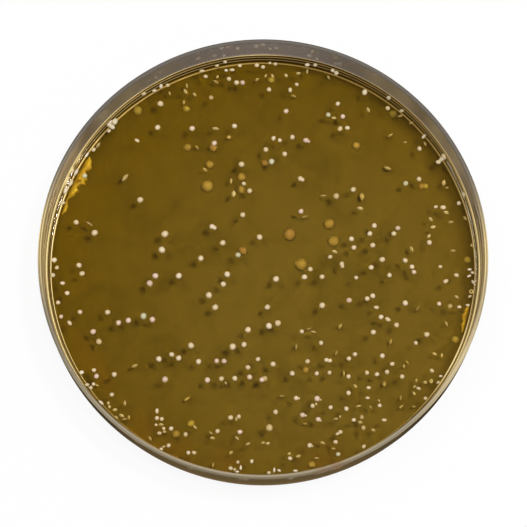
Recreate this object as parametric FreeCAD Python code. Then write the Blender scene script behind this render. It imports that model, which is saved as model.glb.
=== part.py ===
import FreeCAD, Part
import math
import os

# Seeded agar plate: an open Petri dish base of clear polystyrene, 90 mm size, with a poured agar gel
# and the bacterial colonies that grew on the gel, inside it and under it.
# Millimetres. +Z up, the dish stands on z = 0, its axis is the Z axis, -Y is the front.

# Dish
RIM_D = 88.0            # outside diameter of the straight upper wall, which a lid's skirt slides over
HEIGHT = 14.0           # from the foot to the rim
WALL = 0.8              # wall at the rim
INNER_DRAFT = 0.4       # the inside narrows by this much in radius from the rim to the floor
LAND = 8.0              # height of the straight upper part of the outside
OUTER_DRAFT = 0.5       # the outside narrows by this much in radius from the land to the foot
FLOOR_T = 1.1
FOOT_H = 0.5            # the foot ring lifts the floor's underside by this much
FOOT_W = 1.3
HEEL_R = 0.6            # rounding where the outside meets the foot
CORNER_R = 0.8          # rounding where the floor meets the wall inside
CROWN = 0.2             # the rim is a rounded crown, this high
GATE_D = 3.0            # the injection mark in the middle of the underside
GATE_H = 0.2

# Gel
GEL_DEPTH = 4.7
CLIMB = 0.6             # the meniscus stands this much above the level surface at the wall
CLIMB_W = 0.9           # and leaves the level surface this far from the wall
BUBBLE_D = 0.9          # air bubbles caught in the gel beside the wall

# Colonies
GRADE = 0.43            # millimetres for each unit of colony size in the lists below
DOME_RISE = 0.36        # height of a surface colony for each millimetre of its width
FLAT_RISE = 0.14        # the same for the one flat disc colony
FLOOR_RISE = 0.45       # the same for a colony on the floor
COVER = 0.15            # least gel above and below a lens colony, and between growth and wall
SIDES = 6               # corners around a dome-shaped colony
LENS_SIDES = 5          # corners around a lens-shaped one
SPREAD_H = 1.2          # thickness of the golden growth in the corner of the floor

# Sizes that follow from these
RIM_R = RIM_D / 2
FLOOR_Z = FOOT_H + FLOOR_T
GEL_Z = FLOOR_Z + GEL_DEPTH
HEEL_X = RIM_R - OUTER_DRAFT
MOUTH_X = RIM_R - WALL
BASE_X = MOUTH_X - INNER_DRAFT
CORNER_Z = FLOOR_Z + CORNER_R
CORNER_X = BASE_X - CORNER_R

# Colony lists. Places are in percent of the gel's radius, +X to the right and +Y to the back.
# Round colonies: x, y, width. Oval ones: x, y, length, width, turn in degrees from +X.
CREAM_ROUND = [
    (-10.0, 47.1, 2.9), (-8.9, 37.9, 2.0), (-6.2, 34.4, 2.5), (-9.4, 22.9, 2.6), (-23.6, 17.4, 2.6),
    (-22.2, 16.6, 2.4), (-45.4, 13.8, 3.4), (-46.7, 6.3, 3.3), (-18.6, 9.6, 2.8), (-1.6, 12.3, 2.8),
    (-28.7, 2.3, 2.8), (10.1, 52.1, 2.4), (17.3, 40.3, 2.5), (18.5, 39.6, 2.3), (41.9, 35.0, 2.6),
    (51.5, 17.8, 2.5), (49.4, 14.0, 2.5), (40.9, 11.5, 2.5), (42.0, 7.4, 2.4), (50.7, 8.5, 2.5),
    (31.0, 3.0, 2.1), (21.8, -2.8, 2.4), (19.1, -6.5, 2.7), (27.2, -6.4, 2.5), (6.0, -7.5, 3.1),
    (36.4, -0.3, 2.3), (36.7, -1.7, 2.2), (49.9, -2.0, 2.5), (42.9, -6.8, 2.0), (2.0, -20.7, 2.7),
    (27.2, -19.9, 2.9), (47.9, -16.7, 2.4), (50.5, -15.4, 2.5), (2.7, -29.5, 3.1), (6.8, -28.2, 3.0),
    (17.8, -32.1, 2.1), (26.6, -37.4, 2.2), (50.6, -32.4, 2.5), (42.1, -42.7, 2.2), (39.3, -44.7, 2.2),
    (29.0, -45.3, 2.2), (30.7, -45.7, 2.2), (20.4, -46.0, 2.3), (4.6, -47.3, 2.6), (13.4, -51.6, 2.5),
    (24.6, -51.6, 2.1), (30.4, -51.2, 2.0), (47.5, -51.3, 2.1), (52.1, -52.0, 2.2), (-38.8, -6.0, 3.0),
    (-16.5, -5.3, 2.9), (-18.3, -9.9, 2.7), (-24.9, -15.1, 3.1), (-22.0, -20.8, 3.0), (-6.9, -31.3, 2.9),
    (-33.0, -38.7, 3.0), (-13.9, -39.2, 3.2), (-8.7, -38.2, 2.6), (-47.7, -44.9, 2.8), (-41.8, -42.8, 2.4),
    (-38.6, -44.5, 2.7), (-29.5, -46.1, 2.7), (-2.3, -45.0, 2.2), (-6.9, -48.8, 2.4), (-49.2, 64.9, 2.7),
    (-33.1, 64.4, 2.7), (-13.3, 65.6, 2.6), (-48.0, 76.4, 3.0), (-16.0, 88.5, 2.2), (-12.4, 86.7, 2.5),
    (2.8, 83.3, 2.3), (15.8, 85.8, 1.9), (35.0, 76.4, 2.2), (13.7, 60.2, 2.4), (7.8, 58.7, 2.0),
    (1.3, 54.2, 2.5), (58.3, 74.2, 2.2), (72.9, 54.7, 2.2), (-57.0, 30.1, 3.0), (-86.5, 19.4, 2.5),
    (-77.9, 14.4, 3.1), (72.5, 40.0, 2.4), (90.8, 28.5, 2.0), (60.5, 14.0, 2.4), (55.0, 1.7, 2.8),
    (65.6, 1.3, 2.4), (76.9, 9.8, 2.4), (-84.9, -1.0, 2.6), (-95.0, -2.1, 2.0), (-90.1, -14.1, 2.3),
    (-94.2, -18.5, 2.0), (-84.1, -23.0, 2.3), (-71.4, -23.1, 2.6), (58.3, -5.7, 2.3), (68.7, -1.7, 2.3),
    (81.0, -19.1, 2.1), (65.4, -18.8, 2.7), (54.2, -25.3, 2.4), (61.3, -29.0, 2.4), (75.1, -33.5, 2.6),
    (70.0, -37.4, 1.9), (54.6, -43.4, 2.4), (59.1, -47.2, 2.1), (56.7, -50.9, 2.2), (-77.3, -50.1, 2.1),
    (-68.0, -52.1, 2.5), (-77.4, -56.5, 1.7), (-78.6, -58.2, 1.7), (-69.0, -61.4, 2.1), (-19.0, -54.1, 2.4),
    (-12.9, -53.9, 2.5), (-48.3, -72.2, 2.0), (-46.1, -72.6, 1.9), (-48.7, -75.3, 1.3), (-45.2, -77.0, 1.5),
    (-41.8, -77.0, 2.1), (-35.2, -79.7, 2.1), (-20.7, -78.2, 2.1), (-14.8, -72.0, 2.4), (-11.0, -71.5, 2.0),
    (-42.9, -84.8, 2.0), (-33.9, -88.1, 2.0), (-11.4, -92.4, 1.6), (39.1, -53.0, 2.1), (39.0, -60.6, 2.2),
    (15.1, -63.0, 2.2), (16.4, -63.1, 1.2), (26.3, -63.8, 1.0), (22.6, -66.6, 2.2), (30.8, -67.3, 2.0),
    (38.0, -67.9, 2.2), (5.7, -69.4, 2.4), (19.4, -71.1, 1.3), (26.3, -73.4, 1.2), (41.3, -73.1, 1.9),
    (35.2, -78.6, 2.1), (33.0, -83.2, 2.0), (21.2, -84.7, 2.3), (22.5, -85.1, 1.0), (63.6, -53.1, 2.3),
    (74.1, -63.1, 1.8), (53.2, -66.4, 1.9),
]
CREAM_OVAL = [
    (52.1, -20.8, 2.5, 1.8, -10), (-14.5, 92.9, 2.5, 1.6, 0), (-28.6, 92.4, 2.7, 1.5, 5),
    (-26.9, 89.7, 2.3, 1.7, -15), (12.7, 83.1, 2.6, 1.9, 85), (4.9, 59.7, 2.6, 1.9, 65),
    (36.0, 64.3, 2.7, 2.2, 50), (39.4, 64.7, 2.5, 1.9, 0), (-58.7, 58.6, 2.6, 1.6, -35),
    (83.5, 26.5, 2.9, 2.1, 5), (80.1, 26.8, 2.1, 1.5, 15), (-83.4, -4.9, 2.8, 2.3, 0),
    (-92.3, -9.4, 2.4, 1.8, -5), (-88.8, -28.1, 2.7, 1.8, -50), (84.2, -8.5, 2.8, 1.9, 25),
    (89.2, -5.6, 2.5, 1.8, -20), (81.8, -1.6, 2.0, 1.5, 0), (57.3, -26.4, 2.9, 2.1, -35),
    (90.2, -20.6, 2.0, 1.5, 0), (-48.3, -68.9, 2.6, 1.5, 85), (-47.1, -79.1, 2.1, 1.6, 0),
    (-31.3, -88.1, 2.2, 1.8, -20), (48.2, -58.2, 2.1, 1.6, 0), (47.7, -62.9, 2.0, 1.4, 0),
    (33.8, -79.5, 2.2, 1.6, 20), (12.3, -90.7, 2.3, 1.8, -15), (77.2, -50.3, 2.4, 1.7, -35),
    (71.0, -58.5, 2.2, 1.6, -20), (55.2, -73.1, 2.5, 1.5, -5), (-5.1, -92.0, 2.1, 1.6, 85),
    (45.8, -85.2, 2.1, 1.7, 40),
]
ROSE = [
    (17.6, 24.6, 2.5), (39.6, -17.5, 2.6), (-21.2, -45.8, 2.4), (-17.8, -45.9, 2.5), (-22.7, 57.3, 2.6),
    (-9.6, 86.7, 2.4), (10.8, 72.8, 2.4), (37.3, 70.2, 2.4), (20.0, 58.7, 2.6), (21.4, 58.0, 1.5),
    (62.4, 16.6, 2.4), (69.6, -4.2, 2.2), (-66.3, -28.0, 2.6), (-61.8, -26.9, 2.7), (-77.9, -32.2, 2.7),
    (-49.6, -6.0, 2.9), (-52.2, -9.5, 3.1), (-50.8, -26.5, 2.8), (-92.7, -25.1, 2.0), (-76.1, -52.9, 2.5),
    (-44.8, -54.4, 3.0), (-25.4, -54.7, 2.7), (-6.1, -53.3, 2.5), (-0.5, -54.5, 2.5), (24.7, -63.2, 2.8),
    (18.0, -70.8, 2.5), (25.1, -72.8, 2.4), (-10.5, -78.6, 2.3),
]
PALE_GREEN = [
    (-11.5, 3.9, 2.6), (4.0, 48.4, 2.9), (66.3, 38.0, 2.5), (-54.9, -24.9, 3.2), (34.1, -88.8, 2.1),
    (30.5, 71.0, 2.4), (-82.9, 41.6, 2.5),
]
TAN = [
    (34.0, 31.9, 3.0), (-24.3, 79.4, 2.3), (-75.2, -36.8, 2.9), (1.0, -53.8, 3.0), (45.0, -71.8, 2.1),
    (45.7, -76.7, 2.2), (86.0, -20.2, 2.2),
]
LARGE_TAN = (2.9, -76.6, 3.3)
ON_MENISCUS = [
    (-17.8, 96.8, 1.5, 1.4, 0), (-21.6, 95.0, 1.8, 1.1, 0), (-47.8, 85.0, 2.0, 1.4, 85),
    (-44.7, 85.4, 1.7, 1.6, 0), (-55.8, 81.2, 2.0, 1.6, 20), (-50.9, 82.8, 2.0, 1.0, 15),
    (20.8, 95.4, 2.1, 1.4, 0), (24.5, 95.3, 1.8, 1.4, 0), (32.7, 92.6, 1.7, 1.6, 0),
    (34.4, 91.4, 2.0, 1.9, 0), (5.8, 95.8, 1.5, 1.4, 0), (3.2, 96.3, 1.3, 1.1, 0),
    (0.0, 94.3, 1.7, 1.6, 0), (-2.9, 95.2, 1.9, 1.8, 0), (-10.9, 95.0, 1.6, 1.4, 0),
    (-17.3, 92.7, 1.6, 1.1, 0), (64.8, 73.0, 2.0, 1.2, 10), (58.8, 79.2, 1.8, 1.7, 0),
    (47.6, 82.0, 2.5, 2.2, 80), (75.0, 60.6, 2.2, 1.2, 50), (84.4, 50.9, 2.7, 1.9, -70),
    (83.0, 49.4, 2.4, 2.2, 0), (81.5, 48.2, 2.2, 1.9, 0), (-69.2, 67.8, 3.0, 2.2, 70),
    (-71.7, 66.2, 2.2, 2.0, 0), (-70.2, 65.0, 2.4, 2.2, 0), (-71.2, 67.6, 2.2, 1.0, 40),
    (-71.9, 63.3, 1.7, 1.4, 40), (-78.9, 54.2, 1.9, 1.5, 50), (-96.4, 1.5, 2.4, 2.0, 0),
    (-96.9, -5.6, 1.9, 1.8, 0), (-82.9, -51.1, 1.9, 1.6, 30), (-80.3, -56.8, 1.8, 1.2, 0),
    (-73.8, -65.1, 2.4, 1.2, -40), (93.1, 32.7, 2.1, 1.5, -60), (95.3, -2.9, 1.7, 1.0, 0),
    (96.6, -4.4, 1.4, 1.1, 0), (95.0, -6.0, 1.8, 0.9, 30), (96.8, -8.9, 1.8, 1.2, -65),
    (95.2, -15.6, 1.6, 1.0, 30), (94.1, -19.7, 1.7, 1.0, 0), (81.2, -52.8, 1.5, 0.9, 0),
    (80.0, -55.7, 1.5, 0.9, 30), (2.7, -97.2, 1.6, 1.2, 0), (14.7, -96.3, 1.8, 1.0, 0),
    (-12.9, -95.7, 1.3, 0.9, 20), (-11.7, -96.7, 1.5, 0.9, 0), (-14.7, -95.2, 1.7, 1.6, 0),
    (-10.1, -94.9, 2.0, 0.9, 85), (5.1, -96.0, 2.0, 1.0, 85), (7.3, -96.2, 1.6, 1.0, -30),
    (-46.2, -86.4, 1.5, 1.0, -25), (-91.9, 34.8, 3.4, 1.6, 68), (-89.3, 38.2, 3.2, 1.6, 65),
    (-86.9, 43.4, 3.2, 1.3, 62), (-93.0, 28.6, 2.4, 1.2, 10), (-82.1, 51.6, 3.0, 1.0, 58),
]
SHALLOW = [
    (45.1, 26.4, 2.9, 1.6, -8), (33.1, 5.7, 2.7, 1.5, -20), (23.0, -32.0, 2.9, 1.0, -12),
    (-13.7, 33.3, 3.1, 2.0, 85), (-22.2, 64.8, 3.3, 1.4, -8), (-32.1, 81.2, 2.4, 1.3, -50),
    (-36.4, 82.8, 2.8, 1.5, -60), (4.5, 90.2, 2.3, 1.2, -60), (1.3, 90.3, 1.7, 1.0, 60),
    (10.8, 90.5, 2.1, 1.5, -60), (16.6, 91.6, 2.4, 1.3, 0), (20.8, 92.6, 2.3, 1.0, 85),
    (30.7, 89.6, 2.3, 1.0, -60), (33.1, 69.9, 2.4, 1.2, 0), (-77.0, 56.7, 3.3, 1.2, 55),
    (85.0, 24.4, 2.5, 1.5, -25), (77.7, 21.2, 2.5, 1.4, -50), (78.8, 17.4, 2.5, 1.5, 15),
    (76.8, 13.1, 2.1, 1.4, 60), (89.2, -15.7, 2.2, 1.3, -30), (-80.5, 19.1, 3.7, 1.0, -35),
    (87.9, 6.2, 2.4, 1.1, 5), (93.7, 21.7, 2.2, 1.1, -55), (-46.4, -75.1, 2.3, 1.4, 0),
    (-44.9, -78.3, 1.9, 1.2, -5), (-30.9, -76.3, 2.2, 1.2, -45), (-23.0, -81.2, 2.4, 1.4, 0),
    (-11.8, -81.3, 2.3, 1.2, -45), (-12.1, -72.3, 2.3, 1.1, 85), (-67.5, -68.2, 2.3, 1.3, 10),
    (-64.5, -70.9, 2.5, 1.5, -30), (-66.8, -71.7, 2.2, 1.0, -40), (-70.6, -65.1, 1.6, 1.4, 85),
    (-70.1, -66.8, 1.6, 1.2, 85), (0.1, -83.4, 1.8, 1.2, 0), (2.2, -83.7, 1.8, 1.3, 10),
    (11.9, -88.4, 2.0, 1.3, 40), (-45.3, -85.3, 1.9, 1.2, 20), (49.2, 73.8, 2.5, 1.5, -70),
    (33.2, -72.4, 2.4, 1.1, 15), (24.2, -65.6, 1.4, 1.0, -60), (-6.8, -83.9, 2.4, 1.2, 30),
]
MIDDLE = [
    (-27.1, 45.4, 2.9, 1.3, -35), (-14.9, 40.0, 2.7, 1.2, 82), (28.0, 32.9, 3.3, 1.0, 5),
    (-21.4, 90.5, 1.8, 1.3, 60), (-22.2, 88.1, 2.8, 1.1, -30), (-2.8, 89.1, 2.5, 1.3, 35),
    (-35.8, 86.2, 2.3, 1.1, -75), (-43.9, 82.4, 2.2, 1.0, -70), (-64.4, 41.6, 4.3, 1.8, 50),
    (64.3, 71.5, 2.8, 1.1, 20), (69.4, 68.1, 2.2, 1.0, 25), (75.8, 57.9, 2.1, 1.1, -60),
    (66.5, 58.7, 1.7, 0.8, 0), (68.8, 7.5, 2.9, 1.6, -65), (87.2, 20.4, 2.4, 1.1, 5),
    (84.2, 39.1, 2.8, 1.9, 80), (85.7, 36.8, 1.7, 0.9, -10), (-58.9, -47.5, 3.2, 1.5, 30),
    (-63.2, -64.8, 2.7, 1.2, 85), (-61.3, -71.4, 2.0, 1.1, 85), (-51.5, -81.1, 2.6, 1.2, -55),
    (-23.7, -78.6, 2.3, 1.1, -35), (-17.1, -55.5, 2.1, 1.0, -45), (-14.6, -87.6, 2.2, 1.4, 50),
    (44.3, -73.6, 2.3, 1.4, -15), (50.3, -77.3, 2.4, 1.6, -30), (27.1, -83.1, 2.6, 1.3, -20),
    (32.1, -85.8, 2.1, 1.1, 0), (16.0, -89.3, 2.6, 1.5, 25), (24.4, -90.1, 2.3, 1.0, 0),
    (42.2, -56.8, 2.1, 1.2, -40), (43.7, -66.1, 2.5, 1.0, 10), (49.1, -66.6, 2.0, 0.9, -50),
    (77.1, -54.5, 2.1, 1.6, 85), (74.3, -55.1, 1.8, 1.5, 0), (69.0, -60.2, 1.9, 1.2, -60),
    (69.4, -57.1, 1.5, 1.0, 30), (70.2, -54.3, 2.1, 1.0, 85), (53.0, -63.6, 1.6, 0.9, -50),
    (78.8, -41.9, 2.3, 1.3, -20), (82.1, -42.5, 2.0, 1.0, 85), (84.4, -27.7, 2.4, 1.0, -65),
    (35.2, -71.0, 1.4, 0.9, -70), (-63.3, -72.2, 2.2, 0.9, 0),
]
DEEP = [
    (46.1, 33.0, 3.3, 2.2, 88), (19.4, 23.3, 3.1, 1.1, 20), (21.1, -29.8, 2.5, 0.9, 25),
    (35.5, -28.6, 2.9, 1.3, 55), (15.3, -38.2, 2.7, 1.0, 80), (33.8, -41.0, 2.5, 0.9, 60),
    (37.1, -50.6, 2.7, 0.9, 85), (-30.9, 56.7, 2.4, 1.1, -50), (-37.3, 78.7, 2.1, 1.1, 85),
    (-16.0, 61.7, 2.0, 1.7, 0), (14.4, 81.7, 2.7, 1.1, -30), (59.6, 62.5, 2.9, 1.1, 35),
    (58.2, 46.6, 3.5, 1.6, -25), (71.5, -20.1, 3.0, 0.9, 50), (58.8, -35.8, 2.9, 1.4, 75),
    (66.2, -45.4, 2.1, 0.9, -50), (64.8, -47.2, 2.1, 1.2, 85), (-35.0, -62.6, 3.1, 1.4, 35),
    (8.7, -61.2, 2.3, 0.9, -5), (19.1, -73.9, 2.4, 0.9, 10), (55.6, -55.6, 2.4, 1.8, 85),
    (63.1, -62.0, 2.3, 0.9, 80), (63.3, -66.1, 2.3, 1.0, 45), (69.1, -66.0, 2.0, 0.9, -10),
    (-22.8, -92.8, 2.2, 0.9, 80), (-76.1, -56.2, 1.5, 1.0, -20),
]
OCHRE_FLOOR = [
    (-25.0, 49.0, 3.8), (-10.1, 43.0, 3.6), (-10.2, 37.0, 3.8), (-26.0, 38.6, 5.3), (30.9, 20.5, 4.9),
    (32.8, 12.3, 5.1), (17.7, 1.1, 5.4), (19.7, -48.6, 2.9), (-35.4, 57.4, 3.6), (43.8, 58.3, 3.6),
    (-39.9, -78.4, 3.5), (22.3, -92.3, 3.3),
]
ORANGE_FLOOR = [
    (-9.4, 7.7, 3.8), (0.9, 49.7, 3.3), (12.4, 15.5, 5.5), (-23.4, 57.3, 3.9), (74.2, 38.6, 2.8),
]
OLIVE_FLOOR = [
    (-36.0, 76.2, 2.8), (3.9, 90.3, 3.0), (-59.0, 75.4, 3.8), (61.3, 73.6, 3.6), (76.2, 38.6, 3.0),
    (95.0, 3.3, 3.0), (88.8, -34.3, 3.3), (-32.9, -73.5, 3.1),
]
# The golden growth: the angle around the dish and how far in from the wall it reaches, in percent.
WEST_REACH = [
    (147.0, 0.7), (149.5, 4.2), (152.0, 3.4), (154.5, 4.6), (157.0, 3.0), (159.0, 2.6), (161.0, 0.7),
]
EAST_REACH = [(-10.3, 0.6), (-12.0, 1.9), (-14.0, 2.2), (-16.5, 2.0), (-18.5, 0.6)]
BUBBLES = [(-7.8, 1.0), (5.2, 0.75)]    # the angle around the dish and the width, in parts of BUBBLE_D
BUBBLE_RINGS = [(0.87, -0.5), (0.87, 0.5)]


def at(x, z):
    """A corner of a section, at radius x and height z."""
    return FreeCAD.Vector(x, 0, z)


def inner_x(z):
    """Radius of the inside of the wall at height z."""
    return BASE_X + INNER_DRAFT * (z - CORNER_Z) / (HEIGHT - CORNER_Z)


def turned(profile):
    """Solid of revolution about the dish's axis, from points joined by lines, and by an arc where
    an entry is a pair: a point on the arc and the arc's end."""
    edges = []
    here = profile[0]
    for entry in profile[1:]:
        if isinstance(entry, tuple):
            edges.append(Part.Arc(here, entry[0], entry[1]).toShape())
            here = entry[1]
        else:
            edges.append(Part.LineSegment(here, entry).toShape())
            here = entry
    face = Part.Face(Part.Wire(edges))
    return face.revolve(at(0, 0), FreeCAD.Vector(0, 0, 1), 360)


def round_mid(centre_x, centre_z, radius, angle):
    """Point of a circle in the section plane, at an angle in degrees from +X towards +Z."""
    turn = math.radians(angle)
    return at(centre_x + radius * math.cos(turn), centre_z + radius * math.sin(turn))


def faceted(rings):
    """Closed solid with flat faces through rings of corners, from the first ring to the last.
    A ring of one corner is a tip."""
    faces = []
    for low, high in zip(rings, rings[1:]):
        count = max(len(low), len(high))
        for i in range(count):
            j = (i + 1) % count
            loop = [low[i % len(low)], low[j % len(low)], high[j % len(high)], high[i % len(high)]]
            corners = [p for n, p in enumerate(loop) if p != loop[n - 1]]
            faces.append(Part.Face(Part.makePolygon(corners + corners[:1])))
    for ring in (rings[0], rings[-1]):
        if len(ring) > 1:
            faces.append(Part.Face(Part.makePolygon(ring + ring[:1])))
    solid = Part.Solid(Part.Shell(faces))
    if solid.Volume < 0:
        solid.reverse()
    return solid


def place(entry):
    """Centre in millimetres, half sizes and turn of a colony from its entry in a list."""
    length, width, angle = (entry[2], entry[2], 30 * entry[0]) if len(entry) == 3 else entry[2:]
    scale = GEL_X / 100
    return entry[0] * scale, entry[1] * scale, length * GRADE / 2, width * GRADE / 2, math.radians(angle)


def ring(x, y, long, short, turn, z):
    """Corners of a colony's outline at height z."""
    corners = []
    for i in range(SIDES):
        a = 2 * math.pi * i / SIDES
        u = long * math.cos(a)
        v = short * math.sin(a)
        corners.append(FreeCAD.Vector(x + u * math.cos(turn) - v * math.sin(turn),
                                      y + u * math.sin(turn) + v * math.cos(turn), z))
    return corners


def dome(long, short, turn, rise):
    """Low dome with a shoulder, on the plane z = 0 about the origin."""
    foot = ring(0, 0, long, short, turn, 0)
    shoulder = ring(0, 0, 0.78 * long, 0.78 * short, turn, 0.62 * rise)
    return faceted([foot, shoulder, [FreeCAD.Vector(0, 0, rise)]])


def floor_dome(entry):
    """Colony on the floor of the dish."""
    x, y, long, short, turn = place(entry)
    solid = dome(long, short, turn, FLOOR_RISE * 2 * short)
    solid.translate(FreeCAD.Vector(x, y, FLOOR_Z))
    return solid


def gel_top(distance):
    """Height of the gel's top at a distance from the dish's axis."""
    run = max(0.0, distance - (GEL_X - CLIMB_W))
    return GEL_Z + CLIMB_R - math.sqrt(CLIMB_R ** 2 - run ** 2)


def surface_dome(entry, per_width):
    """Colony on the gel. On the meniscus its foot spans the slope from its inner to its outer edge,
    and it is drawn in until it clears the wall."""
    x, y, long, short, turn = place(entry)
    bearing = math.atan2(y, x)
    distance = min(math.hypot(x, y), GEL_X - long - COVER)
    inner = gel_top(distance - long)
    outer = gel_top(distance + long)
    tilt = math.degrees(math.atan2(outer - inner, 2 * long))
    solid = dome(long, short, turn - bearing, per_width * 2 * short)
    solid.rotate(at(0, 0), FreeCAD.Vector(0, 1, 0), -tilt)
    solid.translate(at(distance, (inner + outer) / 2))
    solid.rotate(at(0, 0), FreeCAD.Vector(0, 0, 1), math.degrees(bearing))
    return solid


def lens(entry, level):
    """Lens-shaped colony that stands on edge in the gel: level 0 is near the floor, 1 near the top."""
    x, y, long, short, turn = place(entry)
    low = FLOOR_Z + COVER + long
    z = low + level * (GEL_Z - COVER - long - low)
    across = FreeCAD.Vector(-math.sin(turn), math.cos(turn), 0)
    along = FreeCAD.Vector(math.cos(turn), math.sin(turn), 0)
    middle = FreeCAD.Vector(x, y, z)
    rim = []
    for i in range(LENS_SIDES):
        a = 2 * math.pi * i / LENS_SIDES
        rim.append(middle + along * (long * math.cos(a)) + FreeCAD.Vector(0, 0, long * math.sin(a)))
    return faceted([[middle - across * short], rim, [middle + across * short]])


def corner_growth(reach):
    """Growth spread along the corner of floor and wall: a low sloping-topped band between two angles."""
    outer = CORNER_X - COVER
    rings = []
    for angle, width in reach:
        turn = math.radians(angle)
        spoke = FreeCAD.Vector(math.cos(turn), math.sin(turn), 0)
        inner = outer - width * GEL_X / 100
        rings.append([spoke * inner, spoke * outer])
    low = [r[0] for r in rings] + [r[1] for r in reversed(rings)]
    foot = Part.Face(Part.makePolygon(low + low[:1]))
    foot.translate(FreeCAD.Vector(0, 0, FLOOR_Z))
    return foot.extrude(FreeCAD.Vector(0, 0, SPREAD_H))


def settle(new, settled):
    """A colony gives way to the ones already there: where they overlap, it loses the overlap."""
    box = new.BoundBox
    near = [other for other in settled if other.BoundBox.intersect(box)]
    if near and any(new.common(other).Volume > 1e-9 for other in near):
        new = max(new.cut(near).Solids, key=lambda solid: solid.Volume)
    settled.append(new)
    return new


# Dish: one turned section, with the recess under the floor and the gate mark in it
LAND_Z = HEIGHT - LAND
FOOT_X = HEEL_X - HEEL_R
dish_base = turned([
    at(0, FOOT_H),
    at(FOOT_X - FOOT_W, FOOT_H),
    at(FOOT_X - FOOT_W, 0),
    at(FOOT_X, 0),
    (round_mid(FOOT_X, HEEL_R, HEEL_R, -45), at(HEEL_X, HEEL_R)),
    at(RIM_R, LAND_Z),
    at(RIM_R, HEIGHT - CROWN),
    (at((RIM_R + inner_x(HEIGHT - CROWN)) / 2, HEIGHT), at(inner_x(HEIGHT - CROWN), HEIGHT - CROWN)),
    at(BASE_X, CORNER_Z),
    (round_mid(CORNER_X, CORNER_Z, CORNER_R, -45), at(CORNER_X, FLOOR_Z)),
    at(0, FLOOR_Z),
    at(0, FOOT_H),
])
gate = Part.makeCylinder(GATE_D / 2, GATE_H, FreeCAD.Vector(0, 0, FOOT_H - GATE_H))
dish_base = dish_base.fuse(gate).removeSplitter()

# Gel: it fills the dish to its level, and climbs the wall in an arc
GEL_X = inner_x(GEL_Z + CLIMB)
CLIMB_R = (CLIMB_W ** 2 + CLIMB ** 2) / (2 * CLIMB)
climb_turn = math.degrees(math.asin(CLIMB_W / CLIMB_R))
agar_gel = turned([
    at(0, FLOOR_Z),
    at(CORNER_X, FLOOR_Z),
    (round_mid(CORNER_X, CORNER_Z, CORNER_R, -45), at(BASE_X, CORNER_Z)),
    at(GEL_X, GEL_Z + CLIMB),
    (round_mid(GEL_X - CLIMB_W, GEL_Z + CLIMB_R, CLIMB_R, climb_turn / 2 - 90), at(GEL_X - CLIMB_W, GEL_Z)),
    at(0, GEL_Z),
    at(0, FLOOR_Z),
])

# Growth in and under the gel, each piece in a pocket of its own shape
inside = []
west = settle(corner_growth(WEST_REACH), inside)
east = settle(corner_growth(EAST_REACH), inside)
ochre = [settle(floor_dome(e), inside) for e in OCHRE_FLOOR]
orange = [settle(floor_dome(e), inside) for e in ORANGE_FLOOR]
olive = [settle(floor_dome(e), inside) for e in OLIVE_FLOOR]
deep = [settle(lens(e, 0.25), inside) for e in DEEP]
middle = [settle(lens(e, 0.62), inside) for e in MIDDLE]
shallow = [settle(lens(e, 1.0), inside) for e in SHALLOW]

# Air bubbles beside the wall, closed pockets in the gel
for angle, share in BUBBLES:
    turn = math.radians(angle)
    radius = share * BUBBLE_D / 2
    reach = GEL_X - CLIMB_W - radius
    x = reach * math.cos(turn)
    y = reach * math.sin(turn)
    z = GEL_Z - COVER - radius
    rings = [ring(x, y, radius * k, radius * k, turn, z + radius * h) for k, h in BUBBLE_RINGS]
    low_tip = [FreeCAD.Vector(x, y, z - radius)]
    high_tip = [FreeCAD.Vector(x, y, z + radius)]
    settle(faceted([low_tip] + rings + [high_tip]), inside)
agar_gel = agar_gel.cut(inside)

# Growth on the gel
above = []
edge = [settle(surface_dome(e, DOME_RISE), above) for e in ON_MENISCUS]
large = settle(surface_dome(LARGE_TAN, FLAT_RISE), above)
rose = [settle(surface_dome(e, DOME_RISE), above) for e in ROSE]
green = [settle(surface_dome(e, DOME_RISE), above) for e in PALE_GREEN]
cream = [settle(surface_dome(e, DOME_RISE), above) for e in CREAM_ROUND + CREAM_OVAL]
tan = [settle(surface_dome(e, 0.7 * DOME_RISE), above) for e in TAN]

NODES = {
    "dish_base": [dish_base],
    "agar_gel": agar_gel.Solids,
    "cream_surface_colonies": cream,
    "rose_surface_colonies": rose,
    "pale_green_surface_colonies": green,
    "tan_surface_colonies": tan,
    "large_tan_colony": [large],
    "meniscus_colonies": edge,
    "cream_lens_colonies": shallow,
    "tan_lens_colonies": middle,
    "amber_lens_colonies": deep,
    "ochre_floor_colonies": ochre,
    "orange_floor_colonies": orange,
    "olive_floor_colonies": olive,
    "west_spreading_growth": [west],
    "east_spreading_growth": [east],
}
os.makedirs("parts", exist_ok=True)
for name, solids in NODES.items():
    shape = solids[0] if len(solids) == 1 else Part.makeCompound(solids)
    shape.exportStep("parts/" + name + ".step")
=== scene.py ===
import logging
import math
from dataclasses import dataclass, field
from enum import Enum
from functools import partial, reduce
from typing import Any, Callable

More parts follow.
